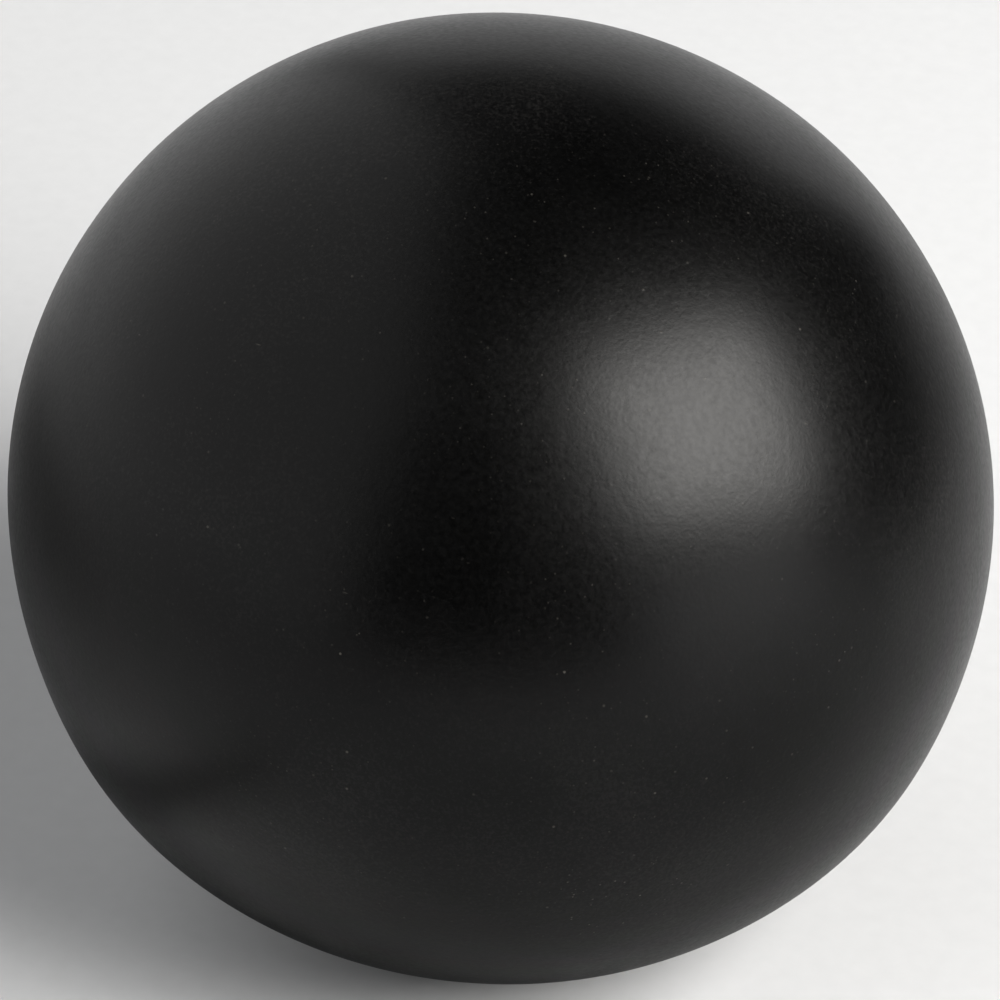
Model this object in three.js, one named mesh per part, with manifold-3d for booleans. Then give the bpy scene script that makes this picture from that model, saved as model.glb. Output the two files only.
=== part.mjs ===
// Case opening friction ball: a soft, tacky, air-filled rubber ball, pressed on a screw watch back and
// turned to undo it. Millimetres, +Z up, +Y towards the inflation valve. The origin is the middle of the
// small flat that the soft ball rests on.
import * as THREE from "three";
import { mergeVertices } from "three/addons/utils/BufferGeometryUtils.js";
import Module from "manifold-3d";

const wasm = await Module();
wasm.setup();

// ---- Driving dimensions ----
const ballRadius = 32.5; // mean outer radius of the 65 mm ball
const stretch = { x: 1.014, y: 0.989, z: 0.997 }; // out-of-roundness: shortest along the valve's axis
const coverWall = 2.5; // tacky friction rubber
const carcassWall = 3; // the two cured half shells
const linerWall = 1; // seam strip and valve patch, bonded to the inside of the carcass
const flangeWall = 1.2; // foot of the valve body, bonded to the patch
const bondGap = 0.3; // left open between bonded or pressed faces

// How the bottom of the soft ball settles at rest. Heights are shares of the ball's radius.
const contactRadius = 8; // of the flat that the ball's weight presses out
const sagLimit = 0.98; // depth that the sagged bottom closes on
const sagSoftness = 0.1; // how gradually the round side turns into the bottom
const bulgeShare = 0.012; // outward bulge of the side above the contact
const bulgeAngle = THREE.MathUtils.degToRad(60); // the bulge's middle, from straight down
const bulgeSpread = THREE.MathUtils.degToRad(11.5);

const seamStripWidth = 12;
const patchRadius = 10;
const flangeRadius = 8;

// The valve lies along +Y. Distances along it are from the ball's centre.
const stem = { radius: 3.5, end: 31.1 }; // sunk below the skin, so that it never meets the watch
const tail = { radius: 3.1, end: 17 }; // the tube's inner end, inside the air space
const bore = { radius: 2.3, headRadius: 2.95, headSeat: 30.2 };
const core = { outerEnd: 31, edge: 0.2, beadRadius: 2.9, beadLength: 1.8, tipLength: 0.8, tipRadius: 1.4 };
const needle = { radius: 0.6, depth: 9, leadInRadius: 1.3, leadInDepth: 1 };
const mouthLip = 1.4; // radius that rounds the cover's edge around the valve
const overlap = 0.4; // how far the stem runs into its flange

const sides = { cover: 48, carcass: 40, valve: 24 }; // of the turned pieces
const lipSteps = 6;
const far = 2 * ballRadius; // past everything, for cuts that run right through

// ---- Radii of the nested layers ----
const carcassRadius = ballRadius - coverWall - bondGap;
const linerRadius = carcassRadius - carcassWall - bondGap;
const flangeOuter = linerRadius - linerWall - bondGap;
const stemHoleRadius = stem.radius + bondGap;

// ---- Solids ----
// A closed geometry as a manifold-3d solid, which is only cut and joined.
function solid(geometry, matrix = new THREE.Matrix4()) {
  const bare = geometry.clone().applyMatrix4(matrix);
  bare.deleteAttribute("normal");
  bare.deleteAttribute("uv");
  const merged = mergeVertices(bare, 1e-4);
  const vertProperties = merged.attributes.position.array;
  const triVerts = new Uint32Array(merged.index.array);
  return new wasm.Manifold(new wasm.Mesh({ numProp: 3, vertProperties, triVerts }));
}

function geometryOf(manifold) {
  const { vertProperties, triVerts } = manifold.getMesh();
  const geometry = new THREE.BufferGeometry();
  geometry.setAttribute("position", new THREE.BufferAttribute(vertProperties, 3));
  geometry.setIndex(new THREE.BufferAttribute(triVerts, 1));
  const faceted = geometry.toNonIndexed();
  faceted.computeVertexNormals();
  return faceted;
}

// A profile of [radius, distance along +Y] pairs, turned about the valve's axis.
function turned(profile) {
  const points = profile.map(([radius, along]) => new THREE.Vector2(radius, along));
  return solid(new THREE.LatheGeometry(points, sides.valve));
}

const rod = (radius, from, to) => turned([[0, from], [radius, from], [radius, to], [0, to]]);

function slab(from, to) {
  const place = new THREE.Matrix4().makeTranslation(0, (from + to) / 2, 0);
  return solid(new THREE.BoxGeometry(2 * far, to - from, 2 * far), place);
}

// Depth below the centre, as a share of the radius, that a round ball's depth settles to.
function settled(depth) {
  return depth - sagSoftness * Math.log1p(Math.exp((depth - sagLimit) / sagSoftness));
}

const contactAngle = Math.asin(contactRadius / ballRadius);
const restDepth = settled(Math.cos(contactAngle));

// The whole ball of this radius at rest, turned about Z and stretched to its out-of-roundness.
function restedBall(radius, segments) {
  const profile = [new THREE.Vector2(0, -radius * restDepth)];
  const rings = segments / 2;
  for (let ring = 0; ring < rings; ring++) {
    const fromBottom = THREE.MathUtils.lerp(contactAngle, Math.PI, ring / rings);
    const bulge = bulgeShare * Math.exp(-(((fromBottom - bulgeAngle) / bulgeSpread) ** 2));
    const width = radius * Math.sin(fromBottom) * (1 + bulge);
    profile.push(new THREE.Vector2(width, -radius * settled(Math.cos(fromBottom))));
  }
  profile.push(new THREE.Vector2(0, radius));
  const upright = new THREE.Matrix4().makeRotationX(Math.PI / 2);
  const shape = new THREE.Matrix4().makeScale(stretch.x, stretch.y, stretch.z).multiply(upright);
  return solid(new THREE.LatheGeometry(profile, segments), shape);
}

function shell(outer, wall, segments) {
  return restedBall(outer, segments).subtract(restedBall(outer - wall, segments));
}

const stemHole = () => rod(stemHoleRadius, 0, far);

// The hole through the cover, opened out to the skin by a round lip.
function mouth() {
  const skin = ballRadius * stretch.y;
  const lipCentre = stemHoleRadius + mouthLip;
  const lean = Math.asin(lipCentre / (skin - mouthLip)); // of the skin, where the lip meets it
  const lipHeight = (skin - mouthLip) * Math.cos(lean);
  const profile = [[0, 0], [stemHoleRadius, 0]];
  for (let step = 0; step <= lipSteps; step++) {
    const turn = (step / lipSteps) * (Math.PI / 2 + lean);
    profile.push([lipCentre - mouthLip * Math.cos(turn), lipHeight + mouthLip * Math.sin(turn)]);
  }
  profile.push([far * Math.sin(lean), far * Math.cos(lean)], [0, far]);
  return turned(profile);
}

// ---- The pieces ----
const frictionCover = () => shell(ballRadius, coverWall, sides.cover).subtract(mouth());

const carcass = () => shell(carcassRadius, carcassWall, sides.carcass);

const valveHalfShell = () => carcass().intersect(slab(bondGap / 2, far)).subtract(stemHole());

const plainHalfShell = () => carcass().intersect(slab(-far, -bondGap / 2));

const liner = () => shell(linerRadius, linerWall, sides.carcass);

const seamStrip = () => liner().intersect(slab(-seamStripWidth / 2, seamStripWidth / 2));

const valvePatch = () => liner().intersect(rod(patchRadius, 0, far)).subtract(stemHole());

function valveBody() {
  const flange = shell(flangeOuter, flangeWall, sides.carcass).intersect(rod(flangeRadius, 0, far));
  const root = flangeOuter * stretch.y - flangeWall;
  const outerTube = rod(stem.radius, root - overlap, stem.end);
  const innerTube = rod(tail.radius, tail.end, root);
  const throughBore = rod(bore.radius, 0, far);
  const headPocket = rod(bore.headRadius, bore.headSeat, far);
  return flange.add(outerTube).add(innerTube).subtract(throughBore).subtract(headPocket);
}

// A plug with a head at its outer end, a bead snapped past the tube's inner end, and a blind needle channel.
function valveCore() {
  const shank = bore.radius - bondGap;
  const head = bore.headRadius - bondGap;
  const headFoot = bore.headSeat + bondGap;
  const beadTop = tail.end - bondGap;
  const beadFoot = beadTop - core.beadLength;
  const channelEnd = core.outerEnd - needle.depth;
  return turned([
    [0, beadFoot - core.tipLength],
    [core.tipRadius, beadFoot - core.tipLength],
    [core.beadRadius, beadFoot],
    [core.beadRadius, beadTop],
    [shank, beadTop],
    [shank, headFoot],
    [head, headFoot],
    [head, core.outerEnd - core.edge],
    [head - core.edge, core.outerEnd],
    [needle.leadInRadius, core.outerEnd],
    [needle.radius, core.outerEnd - needle.leadInDepth],
    [needle.radius, channelEnd + needle.radius],
    [0, channelEnd],
  ]);
}

// ---- Rubbers ----
const rubber = (color, roughness) => new THREE.MeshStandardMaterial({ color, roughness, metalness: 0 });

const frictionRubber = rubber(0x151514, 0.45);
const carcassRubber = rubber(0x2b2724, 0.7);
const linerRubber = rubber(0x8a6a42, 0.75);
const valveRubber = rubber(0x1d1e20, 0.55);
const coreRubber = rubber(0x5a4a38, 0.6);

// ---- The assembly ----
const ball = new THREE.Group();
ball.name = "case_opening_friction_ball";
ball.position.z = ballRadius * restDepth * stretch.z; // stands the flat on z = 0

function place(name, manifold, material) {
  const mesh = new THREE.Mesh(geometryOf(manifold), material);
  mesh.name = name;
  ball.add(mesh);
}

place("friction_cover", frictionCover(), frictionRubber);
place("valve_half_shell", valveHalfShell(), carcassRubber);
place("plain_half_shell", plainHalfShell(), carcassRubber);
place("seam_strip", seamStrip(), linerRubber);
place("valve_patch", valvePatch(), linerRubber);
place("valve_body", valveBody(), valveRubber);
place("valve_core", valveCore(), coreRubber);

export default ball;
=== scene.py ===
"""Looks of the case opening friction ball: fine meshes, rubbers, floor, studio light and camera.

Everything is in metres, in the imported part's frame: +Z up, +Y towards the inflation valve.
"""

import math

import bpy
import numpy as np
from mathutils import Matrix, Quaternion, Vector, noise

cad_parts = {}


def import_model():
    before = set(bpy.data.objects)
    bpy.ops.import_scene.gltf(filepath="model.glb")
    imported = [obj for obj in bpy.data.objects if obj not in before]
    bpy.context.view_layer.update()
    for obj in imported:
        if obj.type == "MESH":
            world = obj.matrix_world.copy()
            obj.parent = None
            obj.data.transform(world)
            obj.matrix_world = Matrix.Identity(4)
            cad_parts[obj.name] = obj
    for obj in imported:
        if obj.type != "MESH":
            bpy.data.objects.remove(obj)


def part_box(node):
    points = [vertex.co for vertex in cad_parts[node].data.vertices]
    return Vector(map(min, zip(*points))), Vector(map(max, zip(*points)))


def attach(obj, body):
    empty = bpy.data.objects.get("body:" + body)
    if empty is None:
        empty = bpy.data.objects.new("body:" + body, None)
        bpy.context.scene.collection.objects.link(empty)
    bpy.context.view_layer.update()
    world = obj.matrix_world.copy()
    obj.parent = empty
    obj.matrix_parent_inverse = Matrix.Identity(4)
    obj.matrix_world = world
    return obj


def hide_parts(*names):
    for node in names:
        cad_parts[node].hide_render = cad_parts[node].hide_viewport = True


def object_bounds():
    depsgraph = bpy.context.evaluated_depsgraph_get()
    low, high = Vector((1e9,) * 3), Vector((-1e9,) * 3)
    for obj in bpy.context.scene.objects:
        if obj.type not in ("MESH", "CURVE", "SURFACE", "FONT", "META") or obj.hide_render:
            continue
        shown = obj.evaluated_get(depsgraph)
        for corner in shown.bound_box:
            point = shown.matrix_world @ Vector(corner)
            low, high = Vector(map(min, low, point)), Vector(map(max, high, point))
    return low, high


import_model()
CAD_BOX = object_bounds()

MM = 0.001

# ---- The ball's shape, as in the CAD part ----
STRETCH = np.array([1.014, 0.989, 0.997])
SAG_LIMIT = 0.98
SAG_SOFTNESS = 0.1
BULGE_SHARE = 0.012
BULGE_ANGLE = math.radians(60)
BULGE_SPREAD = math.radians(11.5)
CONTACT_SHARE = 8 / 32.5  # contact radius over ball radius


def settled(depth):
    """Depth below the centre, as a share of the radius, that a round ball's depth settles to."""
    return depth - SAG_SOFTNESS * np.log1p(np.exp((depth - SAG_LIMIT) / SAG_SOFTNESS))


REST_DEPTH = float(settled(math.cos(math.asin(CONTACT_SHARE))))
RADIUS = CAD_BOX[1].z / (STRETCH[2] * (1 + REST_DEPTH))
CENTRE = Vector((0, 0, RADIUS * REST_DEPTH * STRETCH[2]))

# ---- The nested layers ----
COVER_WALL = 2.5 * MM
CARCASS_WALL = 3 * MM
LINER_WALL = 1 * MM
FLANGE_WALL = 1.2 * MM
BOND_GAP = 0.3 * MM
CARCASS_RADIUS = RADIUS - COVER_WALL - BOND_GAP
LINER_RADIUS = CARCASS_RADIUS - CARCASS_WALL - BOND_GAP
FLANGE_OUTER = (LINER_RADIUS - LINER_WALL - BOND_GAP) * STRETCH[1]
SEAM_STRIP_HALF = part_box("seam_strip")[1].y
PATCH_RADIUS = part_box("valve_patch")[1].x

# ---- The valve, by distance from the centre along +Y ----
STEM_RADIUS = 3.5 * MM
STEM_HOLE = STEM_RADIUS + BOND_GAP
TAIL_RADIUS = 3.1 * MM
TAIL_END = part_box("valve_body")[0].y
STEM_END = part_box("valve_body")[1].y
FLANGE_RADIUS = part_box("valve_body")[1].x
BORE_RADIUS = 2.3 * MM
HEAD_BORE = 2.95 * MM
HEAD_SEAT = 30.2 * MM
CORE_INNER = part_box("valve_core")[0].y
CORE_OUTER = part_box("valve_core")[1].y
BEAD_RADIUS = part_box("valve_core")[1].x
MOUTH_LIP = 1.4 * MM
NEEDLE_RADIUS = 0.6 * MM
NEEDLE_DEPTH = 9 * MM
LEAD_IN_RADIUS = 1.3 * MM
LEAD_IN_DEPTH = 1 * MM
BEAD_NOSE_RADIUS = 1.4 * MM
BEAD_NOSE_DEPTH = 0.8 * MM
HEAD_CHAMFER = 0.2 * MM
SKIVE = 0.4 * MM  # how much narrower a bonded strip or flange is on its inner face
PATCH_SKIVE = 0.5 * MM
BODY_ROUNDING = 0.15 * MM
CORE_ROUNDING = 0.2 * MM

# ---- How finely each piece is turned: steps round the valve's axis, and along its outline's long arcs ----
COVER_ROUND, COVER_OUTER_STEPS, COVER_INNER_STEPS, LIP_STEPS = 320, 190, 90, 10
SHELL_ROUND, SHELL_STEPS = 128, 44
STRIP_ROUND, STRIP_STEPS = 160, 16
PATCH_ROUND, PATCH_STEPS = 96, 12
BODY_ROUND, FLANGE_STEPS, BODY_CORNER_STEPS = 72, 8, 3
CORE_ROUND, CORE_CORNER_STEPS = 64, 4

# ---- The camera, round which the studio is set ----
CAMERA_AZIMUTH = math.radians(30)
CAMERA_ELEVATION = math.radians(35.5)
CAMERA_DISTANCE = 0.37
CAMERA_LENS = 199.8
SENSOR_WIDTH = 36
NEAREST_SEEN = 0.01


# ---- Mesh building ----
ON_AXIS = 1e-9
EDGE_SHARE = 0.45  # the most of an edge that one rounded corner takes


def arc(centre, radius, start, end, steps):
    """Points [distance from the valve's axis, distance along it] on an arc, angles in degrees."""
    turns = np.radians(np.linspace(start, end, steps + 1))
    return [(centre[0] + radius * math.cos(t), centre[1] + radius * math.sin(t)) for t in turns]


def sphere_arc(radius, start, end, steps):
    """Points of a turned sphere's outline, from one polar angle to another, measured from +Y in radians."""
    turns = np.linspace(start, end, steps + 1)
    return [(radius * math.sin(t), radius * math.cos(t)) for t in turns]


def rounded(corners, radius, steps):
    """An outline with each corner (r, y) rounded to about that radius. Corners on the axis stay."""
    outline = []
    count = len(corners)
    for i, corner in enumerate(corners):
        here = Vector(corner)
        if here.x < ON_AXIS:
            outline.append(corner)
            continue
        before = Vector(corners[i - 1]) - here
        after = Vector(corners[(i + 1) % count]) - here
        reach = min(radius, before.length * EDGE_SHARE, after.length * EDGE_SHARE)
        start = here + before.normalized() * reach
        end = here + after.normalized() * reach
        for step in range(steps + 1):
            t = step / steps
            point = start * (1 - t) ** 2 + here * 2 * t * (1 - t) + end * t**2
            outline.append((point.x, point.y))
    return outline


def rested(points):
    """Points about the centre of a round ball, moved to where the soft ball at rest has them."""
    radius = np.linalg.norm(points, axis=1, keepdims=True)
    unit = points / radius
    depth = np.minimum(-unit[:, 2], math.cos(math.asin(CONTACT_SHARE)))
    from_bottom = np.arccos(np.clip(-unit[:, 2], -1, 1))
    bulge = 1 + BULGE_SHARE * np.exp(-(((from_bottom - BULGE_ANGLE) / BULGE_SPREAD) ** 2))
    moved = np.column_stack([unit[:, 0] * bulge, unit[:, 1] * bulge, -settled(depth)])
    return moved * radius * STRETCH


def plain(points):
    return points


def turned(name, outline, segments, place, closed_ring=False):
    """A closed mesh turned about the valve's axis, from an outline that ends on it or is a closed ring."""
    vertices = []
    rings = []
    for r, y in outline:
        if r < ON_AXIS:
            rings.append([len(vertices)])
            vertices.append((0, y, 0))
            continue
        rings.append(list(range(len(vertices), len(vertices) + segments)))
        for s in range(segments):
            turn = 2 * math.pi * s / segments
            vertices.append((r * math.cos(turn), y, r * math.sin(turn)))
    pairs = list(zip(rings, rings[1:]))
    if closed_ring:
        pairs.append((rings[-1], rings[0]))
    faces = []
    for low, high in pairs:
        for s in range(segments):
            t = (s + 1) % segments
            if len(low) == 1:
                faces.append((low[0], high[t], high[s]))
            elif len(high) == 1:
                faces.append((low[s], low[t], high[0]))
            else:
                faces.append((low[s], low[t], high[t], high[s]))
    points = place(np.array(vertices)) + np.array(CENTRE)
    mesh = bpy.data.meshes.new(name)
    mesh.from_pydata(points.tolist(), [], faces)
    mesh.validate()
    mesh.update()
    piece = bpy.data.objects.new(name, mesh)
    bpy.context.scene.collection.objects.link(piece)
    make_outward(mesh)
    mesh.shade_smooth()
    return piece


def signed_volume(mesh):
    mesh.calc_loop_triangles()
    points = np.array([v.co for v in mesh.vertices])
    corners = np.array([t.vertices for t in mesh.loop_triangles])
    a, b, c = (points[corners[:, k]] for k in range(3))
    return float(np.einsum("ij,ij->i", a, np.cross(b, c)).sum() / 6)


def make_outward(mesh):
    if signed_volume(mesh) < 0:
        mesh.flip_normals()


# ---- Pieces ----
SKIN_UNEVENNESS = 0.02 * MM
SKIN_WAVE = 9 * MM
SKIN_DEPTH = 0.05 * MM  # how near the surface a point counts as skin
FLAT_MARGIN = 0.5 * MM  # how far above the flat the unevenness begins


def uneven(points):
    """The rested skin with the faint unevenness of moulded soft rubber. The flat under it stays flat."""
    placed = rested(points)
    radius = np.linalg.norm(points, axis=1)
    outer = radius > RADIUS - SKIN_DEPTH
    bottom = placed[:, 2].min()
    for i in np.nonzero(outer & (placed[:, 2] > bottom + FLAT_MARGIN))[0]:
        direction = Vector(placed[i]).normalized()
        swell = noise.noise(Vector(placed[i]) / SKIN_WAVE)
        placed[i] += np.array(direction) * swell * SKIN_UNEVENNESS
    return placed


def friction_cover():
    lip_centre = STEM_HOLE + MOUTH_LIP
    lean = math.asin(lip_centre / (RADIUS - MOUTH_LIP))
    lip_height = (RADIUS - MOUTH_LIP) * math.cos(lean)
    inner = RADIUS - COVER_WALL
    inner_edge = math.asin(STEM_HOLE / inner)
    outline = sphere_arc(RADIUS, math.pi, lean, COVER_OUTER_STEPS)
    outline += arc((lip_centre, lip_height), MOUTH_LIP, 90 - math.degrees(lean), 180, LIP_STEPS)[1:]
    outline += sphere_arc(inner, inner_edge, math.pi, COVER_INNER_STEPS)
    piece = turned("rubber_skin", outline, COVER_ROUND, uneven)
    return finish_piece(piece, "friction_cover", friction_rubber())


def half_shell(name, node, side):
    """One cured half of the carcass. side is +1 for the valve's half."""
    inner = CARCASS_RADIUS - CARCASS_WALL
    joint = BOND_GAP / 2
    if side > 0:
        outer_turns = (math.asin(STEM_HOLE / CARCASS_RADIUS), math.acos(joint / CARCASS_RADIUS))
        inner_turns = (math.acos(joint / inner), math.asin(STEM_HOLE / inner))
    else:
        outer_turns = (math.pi, math.acos(-joint / CARCASS_RADIUS))
        inner_turns = (math.acos(-joint / inner), math.pi)
    outline = sphere_arc(CARCASS_RADIUS, *outer_turns, SHELL_STEPS)
    outline += sphere_arc(inner, *inner_turns, SHELL_STEPS)
    piece = turned(name, outline, SHELL_ROUND, rested, closed_ring=side > 0)
    return finish_piece(piece, node, carcass_rubber())


def seam_strip():
    inner = LINER_RADIUS - LINER_WALL
    half = SEAM_STRIP_HALF / STRETCH[1]
    outer_turn = math.asin(half / LINER_RADIUS)
    inner_turn = math.asin((half - SKIVE) / inner)
    middle = math.pi / 2
    outline = sphere_arc(LINER_RADIUS, middle - outer_turn, middle + outer_turn, STRIP_STEPS)
    outline += sphere_arc(inner, middle + inner_turn, middle - inner_turn, STRIP_STEPS)
    piece = turned("seam_band", outline, STRIP_ROUND, rested, closed_ring=True)
    return finish_piece(piece, "seam_strip", liner_rubber())


def valve_patch():
    inner = LINER_RADIUS - LINER_WALL
    rim = PATCH_RADIUS / STRETCH[0]
    skived = rim - PATCH_SKIVE
    outer_turns = (math.asin(STEM_HOLE / LINER_RADIUS), math.asin(rim / LINER_RADIUS))
    inner_turns = (math.asin(skived / inner), math.asin(STEM_HOLE / inner))
    outline = sphere_arc(LINER_RADIUS, *outer_turns, PATCH_STEPS)
    outline += sphere_arc(inner, *inner_turns, PATCH_STEPS)
    piece = turned("reinforcing_patch", outline, PATCH_ROUND, rested, closed_ring=True)
    return finish_piece(piece, "valve_patch", liner_rubber())


def valve_body():
    """The moulded tube with its flange and the wider seat for the core's head. Its tail rests on the bead."""
    flange_inner = FLANGE_OUTER - FLANGE_WALL
    rim_turn = math.asin(FLANGE_RADIUS / FLANGE_OUTER)
    inner_rim_turn = math.asin((FLANGE_RADIUS - SKIVE) / flange_inner)
    flange_top = sphere_arc(FLANGE_OUTER, math.asin(STEM_RADIUS / FLANGE_OUTER), rim_turn, FLANGE_STEPS)
    tail_turn = math.asin(TAIL_RADIUS / flange_inner)
    flange_foot = sphere_arc(flange_inner, inner_rim_turn, tail_turn, FLANGE_STEPS)
    corners = [
        (BORE_RADIUS, HEAD_SEAT),
        (HEAD_BORE, HEAD_SEAT),
        (HEAD_BORE, STEM_END),
        (STEM_RADIUS, STEM_END),
        *flange_top,
        *flange_foot,
        (TAIL_RADIUS, TAIL_END),
        (BORE_RADIUS, TAIL_END),
    ]
    outline = rounded(corners, BODY_ROUNDING, BODY_CORNER_STEPS)
    piece = turned("valve_housing", outline, BODY_ROUND, plain, closed_ring=True)
    return finish_piece(piece, "valve_body", valve_rubber())


def valve_core():
    shank = BORE_RADIUS - BOND_GAP
    head = HEAD_BORE - BOND_GAP
    head_foot = HEAD_SEAT + BOND_GAP
    bead_top = TAIL_END - BOND_GAP
    channel_end = CORE_OUTER - NEEDLE_DEPTH
    corners = [
        (0, CORE_INNER),
        (BEAD_NOSE_RADIUS, CORE_INNER),
        (BEAD_RADIUS, CORE_INNER + BEAD_NOSE_DEPTH),
        (BEAD_RADIUS, bead_top),
        (shank, bead_top),
        (shank, head_foot),
        (head, head_foot),
        (head, CORE_OUTER - HEAD_CHAMFER),
        (head - HEAD_CHAMFER, CORE_OUTER),
        (LEAD_IN_RADIUS, CORE_OUTER),
        (NEEDLE_RADIUS, CORE_OUTER - LEAD_IN_DEPTH),
        (NEEDLE_RADIUS, channel_end + NEEDLE_RADIUS),
        (0, channel_end),
    ]
    outline = rounded(corners, CORE_ROUNDING, CORE_CORNER_STEPS)
    piece = turned("self_sealing_core", outline, CORE_ROUND, plain)
    return finish_piece(piece, "valve_core", core_rubber())


def finish_piece(piece, node, material):
    piece.data.materials.append(material)
    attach(piece, "root")
    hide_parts(node)
    return piece


# ---- Materials ----
MOST_NOISE = (0.3, 0.7)  # the range that most of a noise's values lie in
SPECK_CORE = 0.45  # the share of a speck's radius that is at full strength
SPECK_RARITY = 2.0  # the higher, the fewer specks are strong


class Nodes:
    """A material's node tree, with short calls for the nodes used here."""

    def __init__(self, name):
        self.material = bpy.data.materials.new(name)
        self.material.use_nodes = True
        self.tree = self.material.node_tree
        self.shader = self.tree.nodes["Principled BSDF"]
        place = self.tree.nodes.new("ShaderNodeTexCoord")
        self.millimetres = self.mapped(place.outputs["Object"], scale=(1 / MM,) * 3)

    def link(self, value, socket):
        if isinstance(value, bpy.types.NodeSocket):
            self.tree.links.new(value, socket)
        else:
            socket.default_value = value

    def mapped(self, vector, scale=(1, 1, 1), turn=(0, 0, 0)):
        node = self.tree.nodes.new("ShaderNodeMapping")
        self.link(vector, node.inputs["Vector"])
        node.inputs["Scale"].default_value = scale
        node.inputs["Rotation"].default_value = turn
        return node.outputs["Vector"]

    def noise(self, size, detail=2.0, roughness=0.5, vector=None):
        """Noise with lumps of about that size in millimetres."""
        node = self.tree.nodes.new("ShaderNodeTexNoise")
        self.link(vector or self.millimetres, node.inputs["Vector"])
        node.inputs["Scale"].default_value = 1 / size
        node.inputs["Detail"].default_value = detail
        node.inputs["Roughness"].default_value = roughness
        return node.outputs["Fac"]

    def cells(self, size, vector=None):
        """Distance to the nearest of scattered points about that far apart, and two random numbers for it."""
        node = self.tree.nodes.new("ShaderNodeTexVoronoi")
        self.link(vector or self.millimetres, node.inputs["Vector"])
        node.inputs["Scale"].default_value = 1 / size
        split = self.tree.nodes.new("ShaderNodeSeparateColor")
        self.link(node.outputs["Color"], split.inputs["Color"])
        return node.outputs["Distance"], split.outputs["Red"], split.outputs["Green"]

    def distance_to(self, place):
        """Distance in millimetres to a place in the part's frame."""
        node = self.tree.nodes.new("ShaderNodeVectorMath")
        node.operation = "DISTANCE"
        self.link(self.millimetres, node.inputs[0])
        node.inputs[1].default_value = place
        return node.outputs["Value"]

    def math(self, operation, a, b=0.0, clamp=False):
        node = self.tree.nodes.new("ShaderNodeMath")
        node.operation = operation
        node.use_clamp = clamp
        self.link(a, node.inputs[0])
        self.link(b, node.inputs[1])
        return node.outputs["Value"]

    def spread(self, value, low, high, to_low=0.0, to_high=1.0):
        """value, spread from one range to another and held inside it."""
        node = self.tree.nodes.new("ShaderNodeMapRange")
        sockets = ("Value", "From Min", "From Max", "To Min", "To Max")
        for socket, number in zip(sockets, (value, low, high, to_low, to_high)):
            self.link(number, node.inputs[socket])
        return node.outputs["Result"]

    def mix(self, share, a, b):
        node = self.tree.nodes.new("ShaderNodeMix")
        node.data_type = "RGBA"
        self.link(share, node.inputs["Factor"])
        color_a, color_b = (socket for socket in node.inputs if socket.type == "RGBA")
        self.link(a, color_a)
        self.link(b, color_b)
        return next(socket for socket in node.outputs if socket.type == "RGBA")

    def bump(self, height, distance, normal=None):
        """Relief of that height in metres."""
        node = self.tree.nodes.new("ShaderNodeBump")
        node.inputs["Distance"].default_value = distance
        self.link(height, node.inputs["Height"])
        if normal:
            self.link(normal, node.inputs["Normal"])
        return node.outputs["Normal"]

    def specks(self, cell, radius, share, vector=None):
        """Scattered specks: 0 to 1, faint and strong ones mixed. share is how many of the cells hold one."""
        distance, pick, strength = self.cells(cell, vector)
        edge = self.spread(distance, radius / cell * SPECK_CORE, radius / cell, 1.0, 0.0)
        chosen = self.math("LESS_THAN", pick, share)
        strong = self.math("POWER", strength, SPECK_RARITY)
        return self.math("MULTIPLY", self.math("MULTIPLY", edge, chosen), strong)

    def finish(self, color, roughness, normal, specular):
        self.link(color, self.shader.inputs["Base Color"])
        self.link(roughness, self.shader.inputs["Roughness"])
        self.link(normal, self.shader.inputs["Normal"])
        self.shader.inputs["Specular IOR Level"].default_value = specular
        return self.material


# All sizes of noise, specks and patches are in millimetres.
SKIN_BLACK = (0.0001, 0.0001, 0.0001, 1)
SKIN_BLOOM = (0.0074, 0.0072, 0.0069, 1)
BLOOM_SIZE = 0.24
BLOOM_RANGE = (0.42, 0.6)
BLOOM_PATCHES = 14
DUST = (0.4, 0.375, 0.325, 1)
DUST_PATCHES = (  # direction from the ball's centre, how far it reaches in millimetres, how dusty it is
    ((0.19, -0.31, 0.93), 9, 1.0),
    ((0.65, -0.71, -0.28), 7, 3.0),
    ((0.41, -0.56, 0.72), 9, 1.2),
    ((-0.22, -0.74, 0.64), 7, 1.2),
    ((0.37, -0.02, 0.93), 8, 1.0),
    ((0.17, -0.94, 0.31), 7, 1.5),
    ((-0.62, 0.45, 0.64), 9, 1.2),
    ((-0.35, 0.9, -0.2), 8, 2.0),
    ((0.6, 0.75, 0.25), 8, 1.5),
    ((-0.93, -0.2, -0.3), 9, 2.0),
)
DUST_CLOUDS = 10
DUST_NEAR_FLOOR = (5, 45, 2.2, 0.8)  # from this height to that, and the dust at each
HANDLED_DIRECTION = (0.53, -0.55, 0.65)
HANDLED_REACH = (15, 28)
HANDLED_BLOOM = 0.2
FINE_SPECKS = (0.5, 0.08, 1.0)  # distance apart, radius, and how many places have one
FINE_STRENGTH = 0.075
COARSE_SPECKS = (1.3, 0.115, 0.9)
COARSE_STRENGTH = 0.175
LINT_SPECKS = (((0.4, 1.1, 0.3), (1.5, 0.06, 0.6)), ((1.3, 0.2, 2.0), (1.8, 0.06, 0.6)))  # turn, specks
LINT_STRETCH = (0.2, 1, 1)
LINT_STRENGTH = 0.2
SKIN_ROUGHNESS = 0.335
DUST_ROUGHNESS = 0.7
RUB_SIZE, RUB_DEPTH = 6, 0.02  # and how far the rub marks and the grain change the roughness
GRAIN_SIZE, GRAIN_DEPTH = 0.35, 0.035
SKIN_RELIEF = ((0.22, 0.5, 0.004), (0.34, 1, 0.0048), (0.85, 1, 0.0068))  # size, detail, height of the lumps
LITTER_HEIGHT = 0.06 * MM
SKIN_SPECULAR = 0.195


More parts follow.
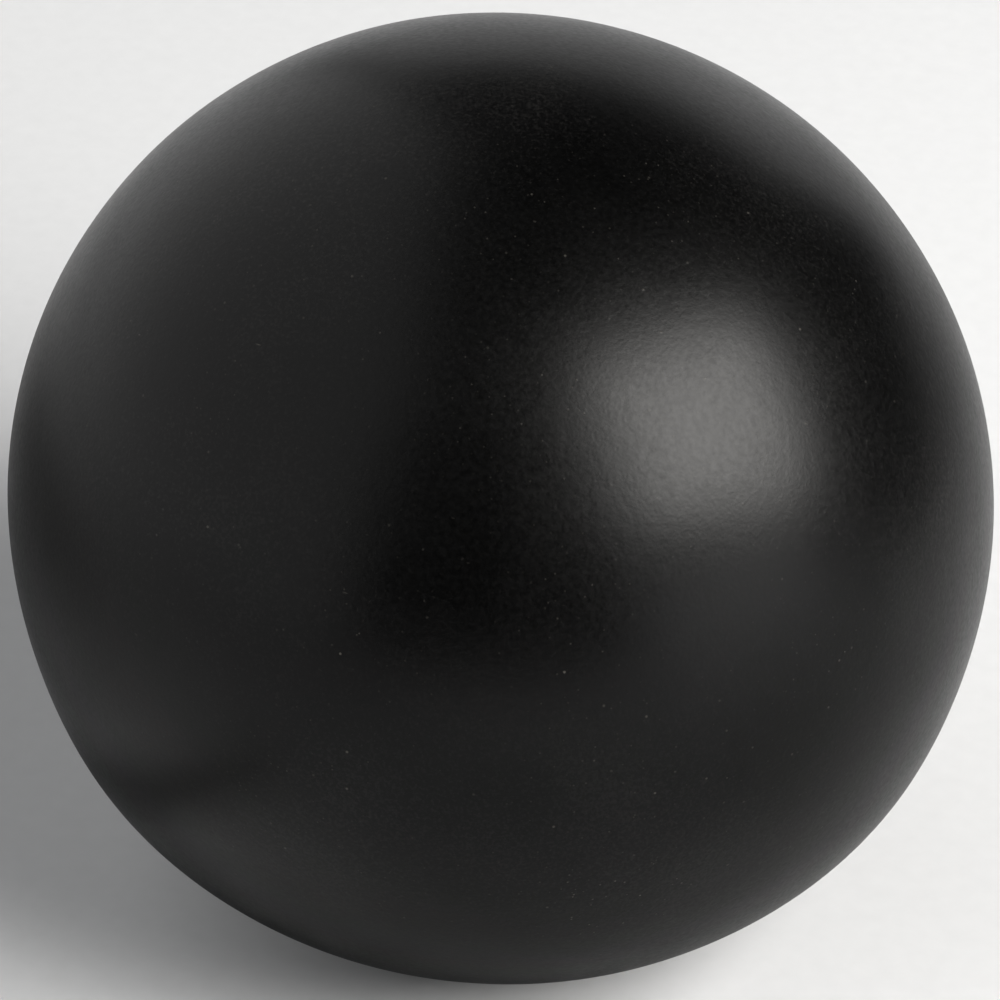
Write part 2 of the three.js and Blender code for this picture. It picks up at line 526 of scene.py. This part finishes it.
def on_skin(direction):
    """The place on the skin in that direction from the ball's centre, in millimetres."""
    return (CENTRE + Vector(direction).normalized() * RADIUS) / MM


def gathered_dust(nodes):
    """How much dust there is at each place: little overall, more in a few patches and towards the floor."""
    gathered = nodes.spread(nodes.noise(DUST_CLOUDS, detail=1), 0.4, 0.7, 0.3, 0.8)
    for direction, reach, amount in DUST_PATCHES:
        patch = nodes.spread(nodes.distance_to(on_skin(direction)), 0, reach, amount, 0.0)
        gathered = nodes.math("MAXIMUM", gathered, patch)
    height = nodes.tree.nodes.new("ShaderNodeSeparateXYZ")
    nodes.link(nodes.millimetres, height.inputs["Vector"])
    return nodes.math("MULTIPLY", gathered, nodes.spread(height.outputs["Z"], *DUST_NEAR_FLOOR))


def friction_rubber():
    """Near-black tacky rubber: fine orange peel, faint bloom, rub marks, and the dust and lint on it."""
    nodes = Nodes("friction_rubber")
    gathered = gathered_dust(nodes)
    patchy = nodes.spread(nodes.noise(BLOOM_PATCHES, detail=3), *MOST_NOISE, 0.7, 1.0)
    cloudy = nodes.math("MULTIPLY", nodes.noise(BLOOM_SIZE, detail=2, roughness=0.7), patchy)
    kept = nodes.spread(nodes.distance_to(on_skin(HANDLED_DIRECTION)), *HANDLED_REACH, HANDLED_BLOOM, 1.0)
    bloom = nodes.math("MULTIPLY", nodes.spread(cloudy, *BLOOM_RANGE), kept)
    color = nodes.mix(bloom, SKIN_BLACK, SKIN_BLOOM)
    fine = nodes.math("MULTIPLY", nodes.specks(*FINE_SPECKS), FINE_STRENGTH)
    coarse = nodes.math("MULTIPLY", nodes.specks(*COARSE_SPECKS), COARSE_STRENGTH)
    lint = 0.0
    for turn, size in LINT_SPECKS:
        along = nodes.mapped(nodes.millimetres, scale=LINT_STRETCH, turn=turn)
        fibres = nodes.specks(*size, vector=along)
        lint = nodes.math("ADD", lint, nodes.math("MULTIPLY", fibres, LINT_STRENGTH))
    litter = nodes.math("ADD", fine, nodes.math("ADD", coarse, lint))
    litter = nodes.math("MULTIPLY", litter, gathered, clamp=True)
    color = nodes.mix(litter, color, DUST)
    marks = nodes.noise(RUB_SIZE, detail=4, roughness=0.65)
    rubbed = nodes.spread(marks, *MOST_NOISE, -RUB_DEPTH, RUB_DEPTH)
    grain = nodes.spread(nodes.noise(GRAIN_SIZE, detail=2), *MOST_NOISE, -GRAIN_DEPTH, GRAIN_DEPTH)
    dusted = nodes.spread(litter, 0, 0.4, SKIN_ROUGHNESS, DUST_ROUGHNESS)
    roughness = nodes.math("ADD", dusted, nodes.math("ADD", rubbed, grain))
    normal = None
    for size, detail, height in SKIN_RELIEF:
        normal = nodes.bump(nodes.noise(size, detail=detail), height * MM, normal)
    normal = nodes.bump(litter, LITTER_HEIGHT, normal)
    return nodes.finish(color, roughness, normal, SKIN_SPECULAR)


CARCASS_COLORS = ((0.02, 0.018, 0.016, 1), (0.042, 0.036, 0.03, 1))
CARCASS_TALC = (0.2, 0.19, 0.17, 1)
GUM_COLORS = ((0.19, 0.11, 0.045, 1), (0.3, 0.19, 0.085, 1))
GUM_TALC = (0.55, 0.5, 0.42, 1)
VALVE_COLORS = ((0.006, 0.006, 0.0065, 1), (0.014, 0.0135, 0.013, 1))
CORE_COLORS = ((0.055, 0.035, 0.02, 1), (0.11, 0.072, 0.042, 1))
PAPER_COLORS = ((0.61, 0.616, 0.624, 1), (0.63, 0.636, 0.644, 1))
# Black of the painted shadows: sheets on the floor that darken only its reflection in the ball.
PAINTED_SHADOW_BLACK = (0.01, 0.01, 0.01, 1)


def carcass_rubber():
    """Charcoal rubber, dull from the mould, with flow marks and a trace of talc."""
    nodes = Nodes("carcass_rubber")
    drawn_out = nodes.mapped(nodes.millimetres, scale=(1, 0.35, 1))
    flow = nodes.noise(6, detail=4, roughness=0.6, vector=drawn_out)
    talc = nodes.spread(nodes.noise(2.2, detail=5, roughness=0.7), 0.52, 0.78, 0.0, 0.5)
    color = nodes.mix(nodes.spread(flow, *MOST_NOISE), *CARCASS_COLORS)
    color = nodes.mix(talc, color, CARCASS_TALC)
    roughness = nodes.spread(flow, *MOST_NOISE, 0.62, 0.8)
    normal = nodes.bump(nodes.noise(0.5, detail=3), 0.03 * MM, nodes.bump(flow, 0.05 * MM))
    return nodes.finish(color, roughness, normal, 0.4)


def liner_rubber():
    """Tan gum rubber strip, with the fine ribs of the calender and pale talc in them."""
    nodes = Nodes("liner_rubber")
    ribs = nodes.tree.nodes.new("ShaderNodeTexWave")
    nodes.link(nodes.millimetres, ribs.inputs["Vector"])
    ribs.bands_direction = "Y"
    ribs.inputs["Scale"].default_value = 0.9
    ribs.inputs["Distortion"].default_value = 0.6
    blotch = nodes.noise(5, detail=3)
    color = nodes.mix(nodes.spread(blotch, *MOST_NOISE), *GUM_COLORS)
    powder = nodes.spread(nodes.noise(1.5, detail=4), 0.45, 0.8, 0, 0.4)
    talc = nodes.math("MULTIPLY", ribs.outputs["Fac"], powder)
    color = nodes.mix(talc, color, GUM_TALC)
    roughness = nodes.spread(blotch, *MOST_NOISE, 0.68, 0.85)
    normal = nodes.bump(nodes.noise(0.4, detail=2), 0.02 * MM, nodes.bump(ribs.outputs["Fac"], 0.05 * MM))
    return nodes.finish(color, roughness, normal, 0.4)


def valve_rubber():
    """Black moulded valve rubber, with a little dust."""
    nodes = Nodes("valve_rubber")
    cloud = nodes.noise(2.5, detail=3)
    color = nodes.mix(nodes.spread(cloud, *MOST_NOISE), *VALVE_COLORS)
    dust = nodes.specks(0.5, 0.07, 0.5)
    color = nodes.mix(nodes.math("MULTIPLY", dust, 0.6), color, DUST)
    roughness = nodes.spread(cloud, *MOST_NOISE, 0.38, 0.52)
    normal = nodes.bump(nodes.noise(0.35, detail=2), 0.008 * MM)
    return nodes.finish(color, roughness, normal, 0.4)


def core_rubber():
    """Brown soft plug rubber with a film of valve grease."""
    nodes = Nodes("core_rubber")
    cloud = nodes.noise(1.2, detail=4, roughness=0.6)
    color = nodes.mix(nodes.spread(cloud, *MOST_NOISE), *CORE_COLORS)
    roughness = nodes.spread(cloud, 0.35, 0.65, 0.28, 0.5)
    normal = nodes.bump(nodes.noise(0.3, detail=3), 0.01 * MM, nodes.bump(cloud, 0.02 * MM))
    return nodes.finish(color, roughness, normal, 0.5)


def floor_paper():
    """Matte pale grey paper with a barely visible tooth."""
    nodes = Nodes("floor_paper")
    fleck = nodes.noise(1.5, detail=3)
    color = nodes.mix(nodes.spread(fleck, *MOST_NOISE), *PAPER_COLORS)
    roughness = nodes.spread(fleck, *MOST_NOISE, 0.85, 0.95)
    return nodes.finish(color, roughness, nodes.bump(fleck, 0.01 * MM), 0.1)


# ---- Studio: x to the camera's right, y away from it, z up, from the ball's centre ----
TO_WORLD = Matrix.Rotation(CAMERA_AZIMUTH, 4, "Z")

KEY_DIRECTION = (-29.3, 38.4)  # azimuth and elevation in degrees
KEY_DISTANCE = 0.6
KEY_SIZE = (0.461, 0.377)
KEY_RADIANCE = 15.1
KEY_ROLL = -22
KEY_SPREAD = 165
KEY_TINT = (1, 0.98, 0.952)
CARDS = (  # name, azimuth, distance, width, height, radiance
    ("front_card", -41, 0.66, 0.48, 0.17, 1.94),
    ("left_card", 170.3, 0.5, 2.14, 1.84, 0.92),
    ("back_card", 85, 0.9, 0.52, 0.42, 0.71),
    ("back_right_card", 62, 0.9, 0.27, 0.38, 0.85),
)
FLOOR_SPOT = (-0.06, 0.44)
FLOOR_SPOT_HEIGHT = 0.42
FLOOR_SPOT_SIZE = (0.35, 0.2)
FLOOR_SPOT_SPREAD = 80
FLOOR_SPOT_RADIANCE = 9.1
WORLD_STRENGTH = 0.017
FLOOR_HALF = 6
FLOOR_CELLS = 24
# Painted shadows and shade: black sheets on the floor that show only in the ball's reflections, darkening the
# floor there.
PAINTED_SHADOW_SIDES = 48
PAINTED_SHADOW_STEP = 0.2 * MM  # the painted shadow sheets lie one above the other
PAINTED_SHADOWS = (  # painted shadows and shade on the floor, seen only in reflections: name, azimuth, distance, half axes, turn, darkness, core
    ("painted_contact_shadow", 220, 0.007, (0.034, 0.034), 0, 0.73, 0.5),
    ("painted_left_shadow", 157, 0.119, (0.094, 0.087), 157, 0.8, 0.35),
    ("painted_front_left_shadow", 212, 0.049, (0.045, 0.007), 257, 0.85, 0.3),
    ("painted_right_shade", 13, 0.37, (0.35, 0.23), 13, 1.0, 0.35),
    ("painted_shade_veil", 270, 0.32, (0.39, 0.44), 270, 0.16, 0.5),
    ("painted_front_shade", 292, 0.05, (0.056, 0.089), 292, 0.36, 0.35),
)


def in_studio(x, y, z):
    return CENTRE + TO_WORLD @ Vector((x, y, z))


def studio_place(azimuth, elevation, distance):
    """A place in the studio, by its direction in degrees from the ball's centre."""
    turn, climb = math.radians(azimuth), math.radians(elevation)
    level = distance * math.cos(climb)
    return level * math.cos(turn), level * math.sin(turn), distance * math.sin(climb)


def area_light(name, place, toward, size, radiance, roll=0.0, spread=180):
    """A rectangular light panel at a place in the studio, facing toward another place.

    spread is the angle that the grid on the panel lets through. radiance is the panel's, seen straight on.
    """
    data = bpy.data.lights.new(name, "AREA")
    data.shape = "RECTANGLE"
    data.size, data.size_y = size
    data.spread = math.radians(spread)
    data.energy = radiance * size[0] * size[1] * math.pi / grid_gain(data.spread)
    light = bpy.data.objects.new(name, data)
    bpy.context.scene.collection.objects.link(light)
    light.location = in_studio(*place)
    facing = (in_studio(*toward) - light.location).to_track_quat("-Z", "Y")
    light.rotation_mode = "QUATERNION"
    light.rotation_quaternion = facing @ Quaternion((0, 0, 1), math.radians(roll))
    light.visible_camera = False
    return light


def grid_gain(spread):
    """How much a grid raises a panel's radiance straight on, at the same power."""
    half = spread / 2
    return 1 / (1 - half / math.tan(half)) if half < math.pi / 2 else 1


def card(name, azimuth, distance, width, height, radiance):
    """A lit white card that stands upright on the floor, facing the ball."""
    middle = height / 2 - CENTRE.z
    x, y, _ = studio_place(azimuth, 0, distance)
    return area_light(name, (x, y, middle), (0, 0, middle), (width, height), radiance)


def lights():
    key_place = studio_place(*KEY_DIRECTION, KEY_DISTANCE)
    key = area_light("key_softbox", key_place, (0, 0, 0), KEY_SIZE, KEY_RADIANCE, KEY_ROLL, KEY_SPREAD)
    key.data.color = KEY_TINT
    for each in CARDS:
        card(*each)
    x, y = FLOOR_SPOT
    size, radiance, spread = FLOOR_SPOT_SIZE, FLOOR_SPOT_RADIANCE, FLOOR_SPOT_SPREAD
    area_light("floor_light", (x, y, FLOOR_SPOT_HEIGHT), (x, y, 0), size, radiance, spread=spread)


def floor():
    row = FLOOR_CELLS + 1
    steps = np.linspace(-FLOOR_HALF, FLOOR_HALF, row)
    vertices = [(x, y, 0) for y in steps for x in steps]
    faces = [
        (j * row + i, j * row + i + 1, (j + 1) * row + i + 1, (j + 1) * row + i)
        for j in range(FLOOR_CELLS)
        for i in range(FLOOR_CELLS)
    ]
    mesh = bpy.data.meshes.new("studio_floor")
    mesh.from_pydata(vertices, [], faces)
    mesh.materials.append(floor_paper())
    piece = bpy.data.objects.new("studio_floor", mesh)
    bpy.context.scene.collection.objects.link(piece)


def painted_shadow(height, name, azimuth, distance, size, turn, darkness, core):
    """A soft-edged black sheet that lies on the floor and shows only in reflections: painted shadow and shade
    on the floor, seen in the ball's skin.

    size is its two half axes, and core is the share of them that is at full darkness.
    """
    turns = [2 * math.pi * i / PAINTED_SHADOW_SIDES for i in range(PAINTED_SHADOW_SIDES)]
    vertices = [(0, 0, 0)] + [(math.cos(t), math.sin(t), 0) for t in turns]
    faces = [(0, i + 1, (i + 1) % PAINTED_SHADOW_SIDES + 1) for i in range(PAINTED_SHADOW_SIDES)]
    mesh = bpy.data.meshes.new(name)
    mesh.from_pydata(vertices, [], faces)
    mesh.materials.append(painted_shadow_material(darkness, core))
    piece = bpy.data.objects.new(name, mesh)
    bpy.context.scene.collection.objects.link(piece)
    spot = in_studio(*studio_place(azimuth, 0, distance))
    piece.location = (spot.x, spot.y, height)
    piece.rotation_euler.z = math.radians(turn) + CAMERA_AZIMUTH
    piece.scale = (size[0], size[1], 1)
    for ray in ("camera", "diffuse", "shadow", "transmission", "volume_scatter"):
        setattr(piece, "visible_" + ray, False)


def painted_shadow_material(darkness, core):
    """Painted shadow: black that thins out towards the sheet's edge, seen only in reflections."""
    nodes = Nodes("painted_shadow_material")
    place = nodes.tree.nodes.new("ShaderNodeTexCoord")
    length = nodes.tree.nodes.new("ShaderNodeVectorMath")
    length.operation = "LENGTH"
    nodes.link(place.outputs["Object"], length.inputs[0])
    nodes.link(nodes.spread(length.outputs["Value"], core, 1.0, darkness, 0.0), nodes.shader.inputs["Alpha"])
    nodes.shader.inputs["Base Color"].default_value = PAINTED_SHADOW_BLACK
    nodes.shader.inputs["Roughness"].default_value = 0.9
    nodes.shader.inputs["Specular IOR Level"].default_value = 0
    return nodes.material


def camera():
    data = bpy.data.cameras.new("camera")
    data.lens = CAMERA_LENS
    data.sensor_width = SENSOR_WIDTH
    data.clip_start = NEAREST_SEEN
    view = bpy.data.objects.new("camera", data)
    bpy.context.scene.collection.objects.link(view)
    back = (0, -math.cos(CAMERA_ELEVATION), math.sin(CAMERA_ELEVATION))
    view.location = in_studio(*(CAMERA_DISTANCE * part for part in back))
    view.rotation_mode = "QUATERNION"
    view.rotation_quaternion = (CENTRE - view.location).to_track_quat("-Z", "Y")
    bpy.context.scene.camera = view


def world():
    surroundings = bpy.data.worlds.new("studio")
    surroundings.use_nodes = True
    background = surroundings.node_tree.nodes["Background"]
    background.inputs["Color"].default_value = (1, 1, 1, 1)
    background.inputs["Strength"].default_value = WORLD_STRENGTH
    bpy.context.scene.world = surroundings


friction_cover()
half_shell("carcass_valve_side", "valve_half_shell", 1)
half_shell("carcass_plain_side", "plain_half_shell", -1)
seam_strip()
valve_patch()
valve_body()
valve_core()

floor()
# Painted shadows and shade: dark sheets on the floor, seen only in the ball's reflections.
for level, each in enumerate(PAINTED_SHADOWS, 1):
    painted_shadow(level * PAINTED_SHADOW_STEP, *each)
lights()
world()
camera()
bpy.context.scene.view_settings.view_transform = "Standard"
